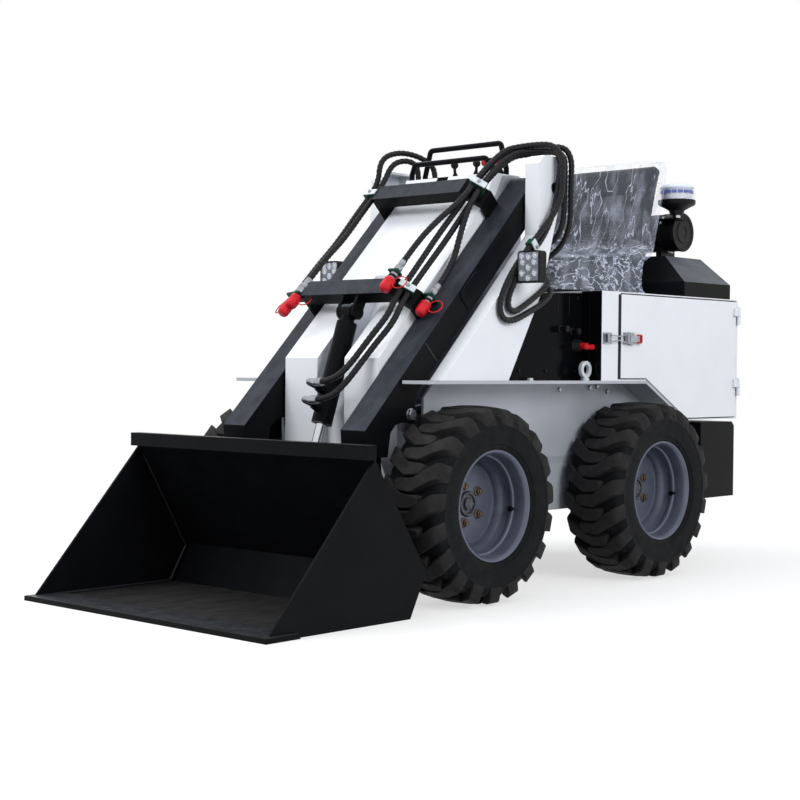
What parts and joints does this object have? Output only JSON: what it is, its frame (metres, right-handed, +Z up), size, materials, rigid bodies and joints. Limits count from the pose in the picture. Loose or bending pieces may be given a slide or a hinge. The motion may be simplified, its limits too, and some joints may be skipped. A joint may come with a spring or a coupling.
{
  "type": "mini skid steer loader",
  "caption": "Compact ride-on wheeled loader with a straight-lip bucket on two low lift arms, a rear engine box with side doors, a seat behind a small lever console.",
  "frame": {"origin": "bottom centre of the bounding box, on the ground", "axes": "+Z up, the bucket and front face -Y, the machine's own left side is +X"},
  "size_m": [1.0602, 2.458, 1.45],
  "materials": {
    "black_paint": "semi-gloss",
    "black_plastic": "matte",
    "clamp_green": "matte",
    "cylinder_black": "semi-gloss",
    "engine_iron": "rough",
    "gloss_black": "gloss",
    "hose_rubber": "matte",
    "lens_clear": "gloss",
    "rim_paint": "satin",
    "rod_chrome": "polished",
    "seat_vinyl": "satin",
    "silver_paint": "satin",
    "tyre_rubber": "satin",
    "white_paint": "gloss",
    "zinc_steel": "satin"
  },
  "bodies": {
    "chassis": {"air_cleaner": "white_paint", "beacon": "lens_clear", "centre_cover": "white_paint", "chassis_frame": "silver_paint", "console": "white_paint", "control_levers": "black_plastic", "counterweight": "black_paint", "engine": "engine_iron", "fender_left": "white_paint", "fender_right": "white_paint", "footwell_floor": "silver_paint", "grab_rails": "black_paint", "hose_clamp_tower": "clamp_green", "lifting_eye_left": "zinc_steel", "lifting_eye_right": "zinc_steel", "rear_body": "white_paint", "rear_hood": "white_paint", "seat_backrest": "seat_vinyl", "seat_base": "black_paint", "seat_cushion": "seat_vinyl", "side_panel_left": "gloss_black", "side_panel_right": "gloss_black", "tower_left": "white_paint", "tower_right": "white_paint", "work_light_left": "black_plastic", "work_light_right": "black_plastic"},
    "lift_arms": {"lift_arm_left": "white_paint", "lift_arm_right": "white_paint", "cross_member_upper": "white_paint", "cross_member_lower": "white_paint", "couplers": "zinc_steel", "hose_aux_a": "hose_rubber", "hose_aux_b": "hose_rubber", "hose_aux_c": "hose_rubber", "hose_aux_d": "hose_rubber", "hose_clamps": "clamp_green", "hose_tilt_a": "hose_rubber", "hose_tilt_b": "hose_rubber"},
    "bucket_group": {"bucket": "black_paint", "attachment_plate": "black_paint"},
    "door_l": {"door_left": "white_paint"},
    "door_r": {"door_right": "white_paint"},
    "tilt_barrel_body": {"tilt_barrel": "cylinder_black"},
    "tilt_rod_body": {"tilt_rod": "rod_chrome"},
    "lift_barrel_left_body": {"lift_barrel_left": "cylinder_black"},
    "lift_rod_left_body": {"lift_rod_left": "rod_chrome"},
    "lift_barrel_right_body": {"lift_barrel_right": "cylinder_black"},
    "lift_rod_right_body": {"lift_rod_right": "rod_chrome"},
    "wheel_front_left": {"tyre_front_left": "tyre_rubber", "rim_front_left": "rim_paint", "axle_front_left": "black_paint"},
    "wheel_front_right": {"tyre_front_right": "tyre_rubber", "rim_front_right": "rim_paint", "axle_front_right": "black_paint"},
    "wheel_rear_left": {"tyre_rear_left": "tyre_rubber", "rim_rear_left": "rim_paint", "axle_rear_left": "black_paint"},
    "wheel_rear_right": {"tyre_rear_right": "tyre_rubber", "rim_rear_right": "rim_paint", "axle_rear_right": "black_paint"}
  },
  "joints": [
    {"name": "lift", "type": "hinge", "parent": "chassis", "child": "lift_arms", "pos_m": [0, 0.15, 1.268], "axis": [-1, 0, 0], "range_deg": [0, 70], "deforming": ["hose_aux_a", "hose_aux_b", "hose_aux_c", "hose_aux_d", "hose_tilt_a", "hose_tilt_b"]},
    {"name": "bucket_tilt", "type": "hinge", "parent": "lift_arms", "child": "bucket_group", "pos_m": [0, -0.585, 0.088], "axis": [1, 0, 0], "range_deg": [-12, 100]},
    {"name": "lift_barrel_left_pin", "type": "hinge", "parent": "chassis", "child": "lift_barrel_left_body", "pos_m": [0.255, 0.374, 0.7], "axis": [-1, 0, 0], "range_deg": [0, 49.59]},
    {"name": "lift_rod_left_slide", "type": "slide", "parent": "lift_barrel_left_body", "child": "lift_rod_left_body", "axis": [0, -0.9851, -0.1719], "range_m": [0, 0.5794]},
    {"name": "lift_barrel_right_pin", "type": "hinge", "parent": "chassis", "child": "lift_barrel_right_body", "pos_m": [-0.255, 0.374, 0.7], "axis": [-1, 0, 0], "range_deg": [0, 49.59]},
    {"name": "lift_rod_right_slide", "type": "slide", "parent": "lift_barrel_right_body", "child": "lift_rod_right_body", "axis": [0, -0.9851, -0.1719], "range_m": [0, 0.5794]},
    {"name": "tilt_barrel_pin", "type": "hinge", "parent": "lift_arms", "child": "tilt_barrel_body", "pos_m": [0, -0.405, 0.862], "axis": [-1, 0, 0], "range_deg": [-0.86, 3.49]},
    {"name": "tilt_rod_slide", "type": "slide", "parent": "tilt_barrel_body", "child": "tilt_rod_body", "axis": [0, -0.3288, -0.9444], "range_m": [-0.0328, 0.2512]},
    {"name": "roll_front_left", "type": "hinge", "parent": "chassis", "child": "wheel_front_left", "pos_m": [0.422, -0.325, 0.292], "axis": [1, 0, 0], "continuous": true},
    {"name": "roll_front_right", "type": "hinge", "parent": "chassis", "child": "wheel_front_right", "pos_m": [-0.422, -0.325, 0.292], "axis": [1, 0, 0], "continuous": true},
    {"name": "roll_rear_left", "type": "hinge", "parent": "chassis", "child": "wheel_rear_left", "pos_m": [0.422, 0.555, 0.292], "axis": [1, 0, 0], "continuous": true},
    {"name": "roll_rear_right", "type": "hinge", "parent": "chassis", "child": "wheel_rear_right", "pos_m": [-0.422, 0.555, 0.292], "axis": [1, 0, 0], "continuous": true},
    {"name": "door_left_hinge", "type": "hinge", "parent": "chassis", "child": "door_l", "pos_m": [0.418, 1.207, 0.74], "axis": [0, 0, 1], "range_deg": [0, 110]},
    {"name": "door_right_hinge", "type": "hinge", "parent": "chassis", "child": "door_r", "pos_m": [-0.418, 1.207, 0.74], "axis": [0, 0, -1], "range_deg": [0, 110]}
  ],
  "couplings": [
    {"joint": "lift_barrel_left_pin", "follows": "lift", "ratio": 0.69989},
    {"joint": "lift_rod_left_slide", "follows": "lift", "m_per_rad": 0.47099},
    {"joint": "lift_barrel_right_pin", "follows": "lift", "ratio": 0.69989},
    {"joint": "lift_rod_right_slide", "follows": "lift", "m_per_rad": 0.47099},
    {"joint": "tilt_barrel_pin", "follows": "bucket_tilt", "ratio": 0.02993},
    {"joint": "tilt_rod_slide", "follows": "bucket_tilt", "m_per_rad": 0.14223}
  ]
}
